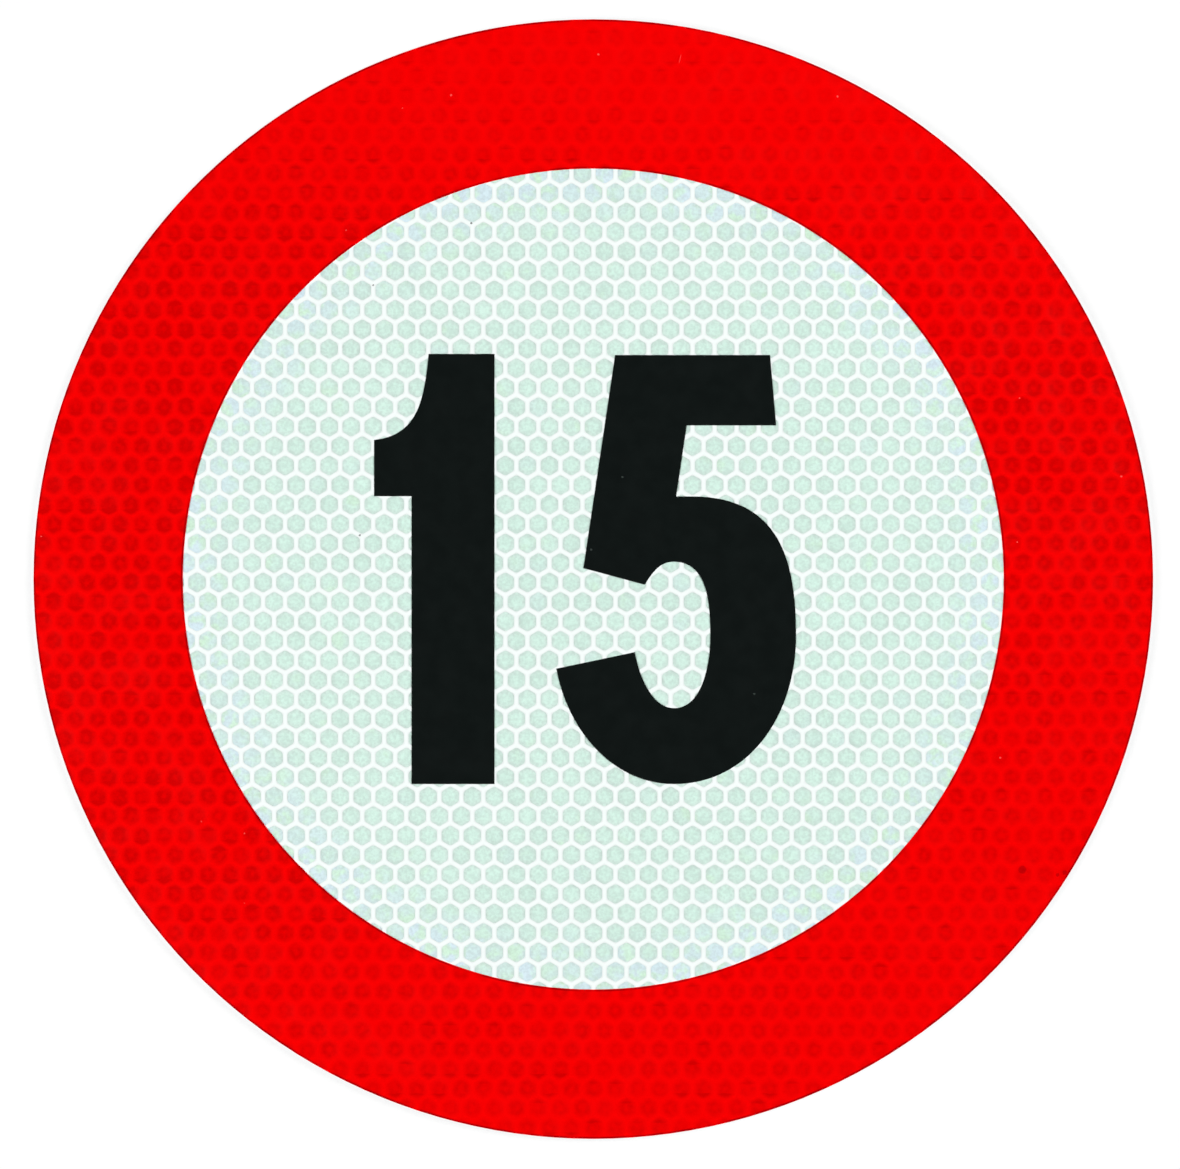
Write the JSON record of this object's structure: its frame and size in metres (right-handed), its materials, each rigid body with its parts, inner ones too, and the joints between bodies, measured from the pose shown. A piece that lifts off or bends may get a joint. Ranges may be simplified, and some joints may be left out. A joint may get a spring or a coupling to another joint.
{
  "type": "vehicle speed limit plate",
  "caption": "Flat round speed limit plate for a slow vehicle: white honeycomb reflective face, broad red border and black numerals on a thin metal disc.",
  "frame": {"origin": "centre of the plate's back face", "axes": "+Z out of the plate's face, +Y towards the top of the numerals, +X to the right as they are read"},
  "size_m": [0.2, 0.2, 0.0014],
  "materials": {
    "plate_metal": "mill-rolled sheet, satin",
    "white_sheeting": "white reflective sheeting with honeycomb cells under a clear film",
    "red_film": "see-through red print, honeycomb visible through it",
    "black_film": "opaque black print, satin"
  },
  "bodies": {
    "root": {"backing_plate": "plate_metal", "reflective_sheet": "white_sheeting", "red_border": "red_film", "numeral_one": "black_film", "numeral_five": "black_film"}
  },
  "joints": []
}
